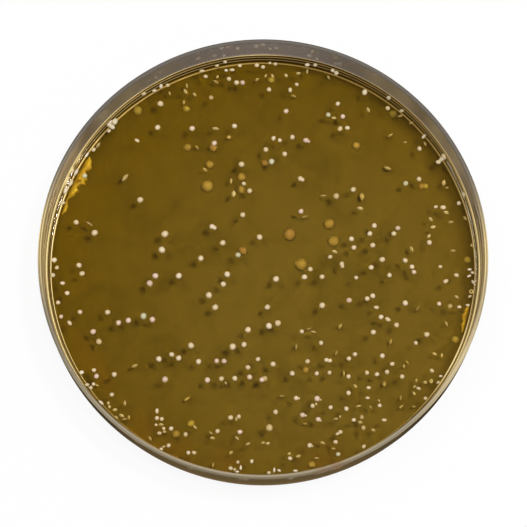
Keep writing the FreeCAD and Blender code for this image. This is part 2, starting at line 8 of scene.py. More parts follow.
import bpy
import numpy as np
from bpy.types import Material, NodeSocket, NodeTree, Object, World
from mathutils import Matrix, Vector


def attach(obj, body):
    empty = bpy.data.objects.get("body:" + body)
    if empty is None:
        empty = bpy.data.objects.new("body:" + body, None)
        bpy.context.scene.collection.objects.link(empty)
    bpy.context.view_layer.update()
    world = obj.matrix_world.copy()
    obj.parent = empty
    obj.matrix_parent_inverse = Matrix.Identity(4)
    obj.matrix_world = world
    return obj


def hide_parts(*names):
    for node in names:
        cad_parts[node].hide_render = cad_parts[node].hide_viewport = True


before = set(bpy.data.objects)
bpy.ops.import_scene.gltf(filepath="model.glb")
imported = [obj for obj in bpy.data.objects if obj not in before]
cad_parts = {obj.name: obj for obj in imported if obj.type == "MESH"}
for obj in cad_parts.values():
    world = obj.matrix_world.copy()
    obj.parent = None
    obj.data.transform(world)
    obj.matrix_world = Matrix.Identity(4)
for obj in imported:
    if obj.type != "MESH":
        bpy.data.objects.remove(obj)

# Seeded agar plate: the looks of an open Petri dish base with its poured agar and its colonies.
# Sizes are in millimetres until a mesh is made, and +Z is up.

LOG = logging.getLogger("seeded_agar_plate")
MM = 0.001
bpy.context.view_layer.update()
ALL_ROUND = 2 * math.pi


Array = np.ndarray
Pair = tuple[float, float]
Triple = tuple[float, float, float]

# Meshes: surfaces worked out as arrays, in millimetres.

ALL_SMOOTH = 180.0  # degrees: no edge is sharp
SAME_PLACE = 1e-6  # nearer points of a profile count as one


@dataclass
class Surface:
    """A mesh in the making, in millimetres.

    vertices is an array of corners, faces a list of corner numbers for each face, slots the material of
    each face, and marks holds a number between 0 and 1 for each corner under a name that a finish reads.
    """

    vertices: Array
    faces: list[list[int]]
    slots: Array
    marks: dict[str, Array] = field(default_factory=dict)

    def volume(self) -> float:
        """Signed volume: the sum over all faces, cut into fans, of a third of each corner product."""
        fans = [(f[0], f[i], f[i + 1]) for f in self.faces for i in range(1, len(f) - 1)]
        a, b, c = (self.vertices[np.array(fans)[:, k]] for k in range(3))
        return float(np.einsum("ij,ij->i", a, np.cross(b, c)).sum() / 6)

    def facing(self, outward: bool = True) -> "Surface":
        """Turns the faces of a closed surface outward, or inward round a hollow.

        Args:
            outward: False for the wall of a hollow inside a solid.

        Returns:
            This surface.
        """
        if (self.volume() > 0) != outward:
            self.faces = [f[::-1] for f in self.faces]
        return self

    def joined(self, other: "Surface") -> "Surface":
        """One surface from two that don't share corners; a mark that one lacks is 0 there.

        Args:
            other: the surface to add.

        Returns:
            The new surface.
        """
        shift = len(self.vertices)
        marks = {
            name: np.concatenate([s.marks.get(name, np.zeros(len(s.vertices))) for s in (self, other)])
            for name in sorted(set(self.marks) | set(other.marks))
        }
        return Surface(
            np.vstack([self.vertices, other.vertices]),
            self.faces + [[i + shift for i in f] for f in other.faces],
            np.concatenate([self.slots, other.slots]),
            marks,
        )

    def piece(self, name: str, materials: list[Material],
              crease: float = ALL_SMOOTH) -> Object:
        """Makes the object: corners in metres, smooth faces, sharp only where they meet at over crease.

        Args:
            name: the piece's name.
            materials: one for each slot number.
            crease: angle in degrees past which an edge is sharp.

        Returns:
            The object, at the origin, in the scene.
        """
        mesh = bpy.data.meshes.new(name)
        mesh.from_pydata((self.vertices * MM).tolist(), [], self.faces)
        for material in materials:
            mesh.materials.append(material)
        mesh.polygons.foreach_set("material_index", self.slots.astype(np.int32))
        mesh.polygons.foreach_set("use_smooth", np.ones(len(self.faces), bool))
        for mark, values in self.marks.items():
            data = mesh.attributes.new(mark, "FLOAT", "POINT").data
            data.foreach_set("value", values.astype(np.float32))
        if crease < ALL_SMOOTH:
            mesh.set_sharp_from_angle(angle=math.radians(crease))
        mesh.update()
        obj = bpy.data.objects.new(name, mesh)
        bpy.context.scene.collection.objects.link(obj)
        return obj


def strips(rows: int, columns: int) -> Array:
    """Four-sided faces between neighbouring rows of a grid that closes round.

    Corner (i, j) has the number i times columns plus j, and the last column meets the first.

    Args:
        rows: number of rows.
        columns: number of columns.

    Returns:
        Corner numbers, one row for each face.
    """
    index = np.arange(rows * columns).reshape(rows, columns)
    after = np.roll(index, -1, axis=1)
    return np.stack([index[:-1], after[:-1], after[1:], index[1:]], -1).reshape(-1, 4)


def lathe(profile: Array, slots: Array, segments: int) -> Surface:
    """A closed turned surface.

    Corner (i, j) is (r cos a, r sin a, z), with r and z from point i of the profile and a the share j of
    a full turn. The profile starts and ends on the axis, where its ring is a single corner.

    Args:
        profile: points (r, z), from axis to axis.
        slots: material number of each stretch between two points.
        segments: number of steps round.

    Returns:
        The surface, facing outward.
    """
    angle = ALL_ROUND * np.arange(segments) / segments
    inner = profile[1:-1]
    ring = np.stack([np.cos(angle), np.sin(angle)], -1)
    xy = inner[:, None, :1] * ring[None]
    z = np.broadcast_to(inner[:, None, 1:], (len(inner), segments, 1))
    body = np.concatenate([xy, z], -1).reshape(-1, 3)
    ends = np.array([[0.0, 0.0, profile[0, 1]], [0.0, 0.0, profile[-1, 1]]])
    row = np.arange(segments)
    beside = np.roll(row, -1)
    top = len(body) - segments
    first = np.stack([np.full(segments, len(body)), beside, row], -1)
    last = np.stack([np.full(segments, len(body) + 1), row + top, beside + top], -1)
    face_slots = np.repeat(np.concatenate([slots[1:-1], slots[[0, -1]]]), segments)
    faces = strips(len(inner), segments).tolist() + first.tolist() + last.tolist()
    return Surface(np.vstack([body, ends]), faces, face_slots).facing()


def arc(centre: Pair, radius: float, start: float, end: float, steps: int) -> Array:
    """Points (r, z) on a circle of the section, from one angle to another, in degrees from +r to +z."""
    turn = np.radians(np.linspace(start, end, steps + 1))
    return np.stack([centre[0] + radius * np.cos(turn), centre[1] + radius * np.sin(turn)], -1)


def run(start: Pair, end: Pair, steps: int) -> Array:
    """Evenly spaced points (r, z) on a straight line, both ends included."""
    return np.linspace(start, end, steps + 1)


def runs(corners: list[Pair], steps: list[int]) -> Array:
    """Straight lines through listed corners (r, z), with a number of steps for each line."""
    return np.vstack([run(corners[i], corners[i + 1], n) for i, n in enumerate(steps)])


def section(*stretches: tuple[Array, int]) -> tuple[Array, Array]:
    """Joins stretches of a profile, each with its material number, and drops the doubled points.

    Args:
        stretches: pairs of points (r, z) and a material number.

    Returns:
        The profile's points, and the material number of each stretch between two points.
    """
    points = np.vstack([p for p, _ in stretches])
    slots = np.concatenate([np.full(len(p), s) for p, s in stretches])
    keep = np.append(True, np.linalg.norm(np.diff(points, axis=0), axis=1) > SAME_PLACE)
    return points[keep], slots[keep][1:]


@dataclass(frozen=True)
class Bell:
    """A bell curve: share at its place and less with distance; power 4 gives it a flat top."""

    place: float
    width: float
    share: float = 1.0
    power: int = 2

    def at(self, values: Array) -> Array:
        """Height of the curve at each value."""
        return self.share * np.exp(-((values - self.place) / self.width) ** self.power)

    def around(self, angles: Array) -> Array:
        """Height of the curve at each angle round the dish, in degrees, past half a turn too."""
        return self.at(self.place + (angles - self.place + 180) % 360 - 180)


Bells = tuple[Bell, ...]

# Finishes: what each surface is made of and how light meets it.

BLACK, WHITE = "000000", "FFFFFF"
Adder = Callable[..., NodeSocket]
COLOURS: dict[str, Any] = {"out": 2, "data_type": "RGBA"}  # what makes a mix node mix colours


def linear(code: str) -> tuple[float, float, float, float]:
    """Linear colour of an sRGB hex code such as "6B5412"."""
    srgb = [int(code[i:i + 2], 16) / 255 for i in (0, 2, 4)]
    return (*[v / 12.92 if v <= 0.04045 else ((v + 0.055) / 1.055) ** 2.4 for v in srgb], 1.0)


def add_node(tree: NodeTree, kind: str, inputs: dict[int | str, Any] | None = None,
             out: int | str = 0, **settings: Any) -> NodeSocket:
    """Adds a node with its settings, and gives each input its link or its plain value.

    Args:
        tree: the node tree.
        kind: the node's type name after "ShaderNode".
        inputs: for each input, by name or number, a socket to link from, a hex colour or a value.
        out: name or number of the output to return.
        settings: the node's own properties.

    Returns:
        The output socket, or None for a node without outputs.
    """
    node = tree.nodes.new("ShaderNode" + kind)
    for key, value in settings.items():
        setattr(node, key, value)
    for key, value in (inputs or {}).items():
        if isinstance(value, NodeSocket):
            tree.links.new(value, node.inputs[key])
        else:
            node.inputs[key].default_value = linear(value) if isinstance(value, str) else value
    return node.outputs[out] if node.outputs else None


def emptied(owner: Material | World) -> Adder:
    """Clears the nodes of a material or a room, and returns the function that adds new ones there."""
    owner.use_nodes = True
    owner.node_tree.nodes.clear()
    return partial(add_node, owner.node_tree)


def blank(name: str) -> tuple[Material, Adder]:
    """A new material without nodes, and the function that adds them."""
    material = bpy.data.materials.new(name)
    return material, emptied(material)


def lamps_pass(add: Adder, body: NodeSocket, tint: str) -> NodeSocket:
    """Lets the lamps' light through a clear finish, tinted, so that nothing behind is in black shadow."""
    shadow, lamp = add("LightPath", out="Is Shadow Ray"), add("BsdfTransparent", {"Color": tint})
    return add("MixShader", {0: shadow, 1: body, 2: lamp})


def seen_by_camera(add: Adder, *more: str) -> NodeSocket:
    """1 where the camera looks straight or through something clear, or by the rays named besides."""
    rays = [add("LightPath", out=ray) for ray in ("Is Camera Ray", *more, "Is Transmission Ray")]
    return reduce(lambda one, two: add("Math", {0: one, 1: two}, operation="MAXIMUM"), rays)


@dataclass(frozen=True)
class ClearPolystyrene:
    """Crystal polystyrene, injection moulded: hard, glossy and clear, with a grey tint and painted grey
    glare along the wall.

    The mould leaves fine level rings in the wall, which draw the gloss out into streaks. A pale layer of
    painted light lies over the glass where its mark is high: grey glare and painted orange reflections,
    and where the mark "gleam" is high, painted pale gold lines that glow, in place of the light that the
    amber gel throws into the rim and the upper wall. The mark "foot" darkens the heel and the front
    corners with painted shade.
    """

    tint: str = "C4BDB8"
    gloss: str = "86704A"
    inner_gloss: str = "FFFAF2"
    # Painted shade: heel is the dark colour of the heel and the front corners where the mark "foot" is
    # high.
    heel: str = "332C22"
    # Colours of the painted light: gold for the lines, grey for the glare, and the orange of painted
    # reflections.
    gold: str = "F6DC9C"
    grey: str = "A9A196"
    blush: str = "C08A52"
    lamp_tint: str = "D8D6D2"
    ior: float = 1.59
    haze: float = 0.03
    roughness: float = 0.07
    glare_roughness: float = 0.7
    # glow: strength with which the painted gold lines shine, as if lit.
    glow: float = 0.30
    ring_pitch_mm: float = 0.5
    ring_length_mm: float = 25.0
    ring_depth_mm: float = 0.0015
    ring_strength: float = 0.6

    def make(self) -> Material:
        """Builds the material: clear plastic, and a pale layer of painted glare, reflections and glowing
        gold lines over it where its mark is high.

        Returns:
            The material.
        """
        material, add = blank("polystyrene_crystal_moulded")
        foot, inside, gleam, blush, veil = (
            add("Attribute", out="Fac", attribute_name=name)
            for name in ("foot", "inside", "gleam", "blush", "veil"))
        place = add("TexCoord", out="Object")
        across, up = 1 / (self.ring_length_mm * MM), 1 / (self.ring_pitch_mm * MM)
        level = add("Mapping", {"Vector": place, "Scale": (across, across, up)})
        rings = add("TexNoise", {"Vector": level, "Scale": 1.0, "Detail": 2.0})
        bump = add("Bump", {
            "Height": rings, "Strength": self.ring_strength, "Distance": self.ring_depth_mm * MM})
        # Painted shade: the glass and its gloss turn dark towards the heel.
        clear = add("Mix", {0: foot, 6: self.tint, 7: self.heel}, **COLOURS)
        bend = add("BsdfRefraction", {
            "Color": clear, "Normal": bump, "Roughness": self.haze, "IOR": self.ior})
        shine = add("Mix", {0: inside, 6: self.gloss, 7: self.inner_gloss}, **COLOURS)
        low = add("Mix", {0: foot, 6: shine, 7: self.heel}, **COLOURS)
        mirror = add("BsdfGlossy", {"Color": low, "Normal": bump, "Roughness": self.roughness})
        share = add("Fresnel", {"Normal": bump, "IOR": self.ior})
        glass = add("MixShader", {0: share, 1: bend, 2: mirror})
        # Painted light: a pale grey and gold layer, tinted orange by painted reflections, glowing along
        # the gold lines.
        hue = add("Mix", {0: gleam, 6: self.grey, 7: self.gold}, **COLOURS)
        tinged = add("Mix", {0: blush, 6: hue, 7: self.blush}, **COLOURS)
        gathered = add("Mix", {0: gleam, 6: BLACK, 7: hue}, **COLOURS)
        glare_layer = add("BsdfPrincipled", {
            "Base Color": tinged, "Emission Color": gathered, "Roughness": self.glare_roughness,
            "Specular IOR Level": 0.0, "Emission Strength": self.glow})
        body = add("MixShader", {0: veil, 1: glass, 2: glare_layer})
        add("OutputMaterial", {"Surface": lamps_pass(add, body, self.lamp_tint)})
        return material


@dataclass(frozen=True)
class AgarSkin:
    """The free surface of set agar: wet, glassy, level, with faint waves left by the spreader."""

    tint: str = "FFF6D8"
    ior: float = 1.34
    roughness: float = 0.02
    wave_mm: float = 6.0
    wave_depth_mm: float = 0.006
    wave_strength: float = 0.5

    def make(self) -> Material:
        """Builds the material: clear gel with a gloss that the waves bend.

        Returns:
            The material.
        """
        material, add = blank("agar_wet_surface")
        place = add("TexCoord", out="Object")
        waves = add("TexNoise", {
            "Vector": place, "Scale": 1 / (self.wave_mm * MM), "Detail": 2.0, "Distortion": 1.2})
        bump = add("Bump", {
            "Height": waves, "Strength": self.wave_strength, "Distance": self.wave_depth_mm * MM})
        body = add("BsdfPrincipled", {
            "Normal": bump, "Base Color": self.tint, "Roughness": self.roughness, "IOR": self.ior,
            "Transmission Weight": 1.0})
        add("OutputMaterial", {"Surface": lamps_pass(add, body, WHITE)})
        return material


@dataclass(frozen=True)
class AgarBody:
    """Poured nutrient agar in depth: olive brown with a slow mottle, as light dies out in it.

    The mark "glint" brings in painted light: golden glints along its side and corner, which glow as if
    lit.
    Another mark brings in painted brownish shade near its front edge.
    """

    edge: str = "5D4702"
    middle: str = "675318"
    dark: str = "4F3E04"
    # Painted light and shade: the glints' two colours, the colour of the painted shade near the front
    # edge, and the strength with which the glints glow as if lit.
    glint: str = "E0B03C"
    bright: str = "FFF2C2"
    cast: str = "85480A"
    glow: float = 0.5
    roughness: float = 0.7
    mottle_mm: float = 7.0
    mottle_span: Pair = (0.45, 0.75)
    mottle_share: float = 0.55
    streak_mm: float = 1.6
    streak_turn: float = 0.5
    streak_stretch: float = 0.25
    streak_span: Pair = (0.5, 0.8)
    streak_share: float = 0.35
    heart_mm: Pair = (14.0, -12.0)
    heart_reach_mm: Pair = (54.0, 20.0)

    def make(self) -> Material:
        """Builds the material: a ground colour, and over it a layer for each pattern and mark.

        Returns:
            The material.
        """
        material, add = blank("agar_poured_depth")
        cast, glint = (add("Attribute", out="Fac", attribute_name=n) for n in ("cast", "glint"))
        place = add("TexCoord", out="Object")
        u, v = self.heart_mm
        flat = add("Mapping", {
            "Vector": place, "Location": (-u * MM, -v * MM, 0.0), "Scale": (1.0, 1.0, 0.0)})
        away = add("VectorMath", {0: flat}, out="Value", operation="LENGTH")
        far, near = self.heart_reach_mm
        middle = add("MapRange", {"Value": away, "From Min": far * MM, "From Max": near * MM})
        ground = add("Mix", {0: middle, 6: self.edge, 7: self.middle}, **COLOURS)
        mottle = add("TexNoise", {
            "Vector": place, "Scale": 1 / (self.mottle_mm * MM), "Detail": 3.0, "Distortion": 0.8})
        swept = add("Mapping", {
            "Vector": place, "Rotation": (0.0, 0.0, self.streak_turn),
            "Scale": (1.0, self.streak_stretch, 1.0)})
        streaks = add("TexNoise", {
            "Vector": swept, "Scale": 1 / (self.streak_mm * MM), "Detail": 2.0, "Distortion": 1.5})
        for pattern, (low, high), most, colour in (
                (mottle, self.mottle_span, self.mottle_share, self.dark),
                (streaks, self.streak_span, self.streak_share, self.middle)):
            share = add("MapRange", {
                "Value": pattern, "From Min": low, "From Max": high, "To Max": most})
            ground = add("Mix", {0: share, 6: ground, 7: colour}, **COLOURS)
        # Painted shade: brownish near the front edge.
        shaded = add("Mix", {0: cast, 6: ground, 7: self.cast}, **COLOURS)
        # Painted glints: golden lines that glow, as if they gathered light.
        hue = add("Mix", {0: glint, 6: self.glint, 7: self.bright}, **COLOURS)
        lit = add("Mix", {0: glint, 6: shaded, 7: hue}, **COLOURS)
        gathered = add("Mix", {0: glint, 6: BLACK, 7: hue}, **COLOURS)
        body = add("BsdfPrincipled", {
            "Base Color": lit, "Emission Color": gathered, "Roughness": self.roughness,
            "Specular IOR Level": 0.0, "Emission Strength": self.glow})
        add("OutputMaterial", {"Surface": body})
        return material


@dataclass(frozen=True)
class ColonyFinish:
    """Bacterial growth on agar: a soft, moist paste, pale in the middle and thin and clear at its edge.

    The mark "tone" gives each colony its own shade between two, and "edge" its thin margin.
    """

    name: str
    slot: str
    pale: str
    deep: str
    margin: str
    roughness: float = 0.35
    grain_mm: float = 0.12
    grain_depth_mm: float = 0.02
    grain_strength: float = 0.3
    ior: float = 1.38

    def make(self) -> Material:
        """Builds the material: the colony's own shade, then its margin, and a fine grain in the gloss.

        Returns:
            The material.
        """
        material, add = blank(self.name)
        tone, edge = (add("Attribute", out="Fac", attribute_name=n) for n in ("tone", "edge"))
        own = add("Mix", {0: tone, 6: self.pale, 7: self.deep}, **COLOURS)
        colour = add("Mix", {0: edge, 6: own, 7: self.margin}, **COLOURS)
        place = add("TexCoord", out="Object")
        grain = add("TexNoise", {
            "Vector": place, "Scale": 1 / (self.grain_mm * MM), "Detail": 1.0})
        bump = add("Bump", {
            "Height": grain, "Strength": self.grain_strength, "Distance": self.grain_depth_mm * MM})
        body = add("BsdfPrincipled", {
            "Base Color": colour, "Normal": bump, "Roughness": self.roughness, "IOR": self.ior})
        add("OutputMaterial", {"Surface": body})
        return material


@dataclass(frozen=True)
class StudioPaper:
    """Seamless white paper under the dish, matte. The camera sees it near white, with a soft shadow."""

    shade: str = WHITE
    glow: float = 0.92

    def make(self) -> Material:
        """Builds the material: white to the camera, straight or by the dish, and matte to the lamps.

        Returns:
            The material.
        """
        material, add = blank("paper_white_seamless")
        paper = add("BsdfDiffuse", {"Color": self.shade})
        white = add("Emission", {"Color": WHITE, "Strength": 1.0})
        share = add("Math", {0: seen_by_camera(add, "Is Glossy Ray"), 1: self.glow},
                         operation="MULTIPLY")
        mix = add("MixShader", {0: share, 1: paper, 2: white})
        add("OutputMaterial", {"Surface": mix})
        return material


CREAM = ColonyFinish("growth_cream_moist", "cream_growth", "F1DCB8", "E0C898", "A9874A")
ROSE = ColonyFinish("growth_rose_moist", "rose_growth", "EED2B8", "DCBEA0", "A9805A")
PALE_GREEN = ColonyFinish("growth_pale_green_moist", "pale_green_growth", "DDD4B0", "CFC69C", "94905A")
TAN = ColonyFinish("growth_tan_moist", "tan_growth", "D8BE86", "BFA264", "8C6A28")
MENISCUS = ColonyFinish("growth_cream_on_slope", "meniscus_growth", "F2E6CC", "DCC898", "A08040")
CREAM_SUNK = ColonyFinish(
    "growth_cream_in_gel", "cream_growth", "F2E4B4", "E0CC8C", "A08438", roughness=0.6)
TAN_SUNK = ColonyFinish(
    "growth_tan_in_gel", "tan_growth", "EEDA9C", "DAC07A", "9C8034", roughness=0.6)
AMBER_SUNK = ColonyFinish(
    "growth_amber_in_gel", "amber_growth", "E0C87C", "C8AA58", "94762A", roughness=0.7)
OCHRE_SUNK = ColonyFinish(
    "growth_ochre_on_floor", "ochre_growth", "A4842A", "98781E", "66500F", roughness=0.7)
ORANGE_SUNK = ColonyFinish(
    "growth_orange_on_floor", "orange_growth", "A27A28", "926C1E", "66500F", roughness=0.7)
OLIVE_SUNK = ColonyFinish(
    "growth_olive_on_floor", "olive_growth", "AE922E", "A48A24", "66540C", roughness=0.7)
GOLDEN = ColonyFinish(
    "growth_golden_spread", "golden_growth", "D4AC1C", "BA920E", "8A680A", roughness=0.6)


# Dish and gel: the two big pieces.


@dataclass
class PetriDish:
    """The moulded base dish: sizes as those of the part, then the light and shade painted into its wall.

    Angles go from the right over the back, in degrees. A bell's place is an angle, a radius or a height.
    """

    rim_radius: float = 44.0
    height: float = 14.0
    wall: float = 0.8
    inner_draft: float = 0.4
    land: float = 8.0
    outer_draft: float = 0.5
    floor_thickness: float = 1.1
    foot_height: float = 0.5
    foot_width: float = 1.3
    heel_radius: float = 0.6
    corner_radius: float = 0.8
    crown: float = 0.2
    gate_radius: float = 1.5
    gate_height: float = 0.2
    segments: int = 256
    # Where painted light and shade lie: glare and gold lines on the crown and the wall, painted
    # reflections at the front, and shade at the heel and the front corners.
    crown_lines: Bells = (Bell(43.92, 0.10, 0.8), Bell(43.5, 0.09))
    wall_lines: Bells = (Bell(12.4, 0.55), Bell(9.2, 0.6, 0.9), Bell(7.2, 0.3))
    reflected_streaks: Bells = (
        Bell(-124, 0.5, 0.5), Bell(-108, 0.7, 0.5), Bell(-105, 0.4, 0.6), Bell(-96, 0.5, 0.6),
        Bell(-94, 0.4, 0.5), Bell(-83, 0.5, 0.6), Bell(-75.5, 0.5, 0.4), Bell(-54, 0.5, 0.6))
    orange_reflections: Bells = (Bell(-75, 1.4, 0.9), Bell(-71, 1.8, 0.9))
    gold: Bells = (Bell(175, 29), Bell(-1, 26, 0.85))
    shine: Bells = (Bell(176, 15), Bell(2, 14, 0.9))
    front: Bell = Bell(-90, 55, power=4)
    corners: Bells = (Bell(-40, 22), Bell(218, 22))
    near_right: Bell = Bell(-24, 17)
    from_back: Bell = Bell(48, 28, power=4)
    upper: Bell = Bell(12.6, 1.6, power=4)
    heel_shade_band: Bell = Bell(0, 1.9, power=4)
    heel_shade_reach: float = 1.5
    skin: float = 0.3
    above_gel: float = 7.0
    outer_crown: float = 43.62
    dark_crown: float = 43.87
    lip_glare: float = 0.43
    shine_glare: float = 0.25
    near_right_glare: float = 0.35
    flank_glare: float = 0.85
    flank_gleam: float = 0.42
    low_gleam: float = 0.3
    corner_shade: float = 0.8

    @property
    def floor(self) -> float:
        """Height of the inside floor."""
        return self.foot_height + self.floor_thickness

    @property
    def corner(self) -> Pair:
        """Centre (r, z) of the rounding where the floor meets the wall."""
        base = self.rim_radius - self.wall - self.inner_draft
        return base - self.corner_radius, self.floor + self.corner_radius

    def inner(self, z: float) -> float:
        """Radius of the inside of the wall at height z."""
        base, low = self.corner[0] + self.corner_radius, self.corner[1]
        return base + self.inner_draft * (z - low) / (self.height - low)

    def surface(self) -> Surface:
        """One turned section: recess, foot, heel, outside, crown, inside, corner and floor.

        Returns:
            The closed dish with its marks.
        """
        lip = self.height - self.crown
        half = (self.rim_radius - self.inner(lip)) / 2
        bow = (half ** 2 + self.crown ** 2) / (2 * self.crown)
        lean = math.degrees(math.asin(half / bow))
        rim = self.rim_radius
        heel = rim - self.outer_draft
        foot = heel - self.heel_radius
        ring = foot - self.foot_width
        land = self.height - self.land
        gate = self.foot_height - self.gate_height
        profile, slots = section(
            (runs([(0, gate), (self.gate_radius, gate), (self.gate_radius, self.foot_height),
                   (ring, self.foot_height), (ring, 0), (foot, 0)], [2, 1, 8, 1, 2]), 0),
            (arc((foot, self.heel_radius), self.heel_radius, -90, 0, 6), 0),
            (runs([(heel, self.heel_radius), (rim, land), (rim, lip)], [8, 8]), 0),
            (arc((rim - half, self.height - bow), bow, 90 - lean, 90 + lean, 12), 0),
            (run((self.inner(lip), lip), (self.inner(self.corner[1]), self.corner[1]), 60), 0),
            (arc(self.corner, self.corner_radius, 0, -90, 8), 0),
            (run((self.corner[0], self.floor), (0, self.floor), 8), 0),
        )
        dish = lathe(profile, slots, self.segments)
        dish.marks |= self.light_lines(dish.vertices)
        return dish

    def light_lines(self, points: Array) -> dict[str, Array]:
        """Marks for painted light and shade: the light that the gel and the lamps throw into the rim and
        the upper wall, and shade at the heel.

        Each line is a bell curve across the crown or down the wall. Round the dish, broad bell curves of
        the angle make the lines gold at the left and the right, beige at the front and grey at the back.

        Args:
            points: the dish's corners.

        Returns:
            a mark for how much pale painted glare and reflection lies over the plastic, "gleam" for how
            golden and a mark for how orange that painted light is, "inside" for the inner wall and "foot"
            for painted shade at the thick heel and the front corners.
        """
        x, y, z = points.T
        radius, angle = np.hypot(x, y), np.degrees(np.arctan2(y, x))
        turn = np.radians(angle)
        gold, shine = (np.maximum(*(b.around(angle) for b in pair)) for pair in (self.gold, self.shine))
        front, near_right = self.front.around(angle), self.near_right.around(angle)
        corners = sum(b.around(angle) for b in self.corners)
        ripple = 0.85 + 0.15 * np.sin(23 * turn) * np.sin(9 * turn + 1)
        # Painted pale light on the flanks of the inner wall.
        flanks = self.from_back.at(np.abs(angle - 90)) * ripple * (1 + 0.2 * np.cos(turn))
        crown = z > self.height - self.crown - 0.01
        inside = (radius < self.rim_radius - self.skin) & (z > self.above_gel) & ~crown
        outside = (radius > self.rim_radius - 2 * self.skin) & (z < self.height - self.crown)

        def swaying(value: Array, bells: Bells) -> Array:
            """Sum of bell curves, each swaying a little round the dish."""
            return sum(b.at(value) * (0.8 + 0.2 * np.sin((7 + 4 * k) * turn + 2 * k))
                       for k, b in enumerate(bells))

        upper = self.upper.at(z)
        # Painted orange reflections at the front, on the crown and the outside.
        front_reflection = swaying(angle, self.orange_reflections) * (crown | outside) * upper
        outer_half = front * (1 - np.clip(corners, 0, 1)) * (radius > self.outer_crown)
        dark_edge = (radius > self.dark_crown) * (1 - np.clip(front + corners, 0, 1))
        across = swaying(radius, self.crown_lines)
        lip = self.lip_glare + corners * (0.45 * across - 0.1) + 0.25 * front
        lip = lip * (1 - 0.4 * outer_half) * (1 - dark_edge) + self.near_right_glare * near_right
        lines = np.clip(swaying(z, self.wall_lines), 0, 1)
        on_crown = shine * (self.shine_glare + across) + (1 - shine) * lip
        on_wall = np.maximum(gold * (0.3 + 0.7 * lines), self.flank_glare * flanks)
        # Painted reflected streaks on the outside of the upper wall.
        on_outside = np.where(outside, swaying(angle, self.reflected_streaks) * upper, 0.0)
        veil = np.where(crown, on_crown, np.where(inside, on_wall, on_outside))
        # Painted gold light on the crown and the wall.
        crown_gleam = shine + self.low_gleam * (np.maximum(front, corners) + near_right)
        wall_gleam = np.maximum(gold, self.flank_gleam * flanks)
        gleam = np.where(crown, crown_gleam, np.where(inside, wall_gleam, self.low_gleam))
        # Painted shade: darker at the heel.
        heel = self.heel_shade_band.at(z) * (radius > self.rim_radius - self.heel_shade_reach)
        marks = {
            "veil": np.maximum(veil, front_reflection),
            "gleam": gleam * (1 - np.clip(front_reflection, 0, 1)),
            "blush": np.where(inside, 0.5 * gold * (1 - lines), front_reflection),
            "inside": inside.astype(float),
            "foot": np.maximum(heel, self.corner_shade * corners * outside),
        }
        return {name: np.clip(values, 0, 1) for name, values in marks.items()}

    def build(self) -> Object:
        """Builds and dresses the dish."""
        dish = self.surface().piece("dish", [ClearPolystyrene().make()], 30.0)
        return declared(dish, "dish_base")


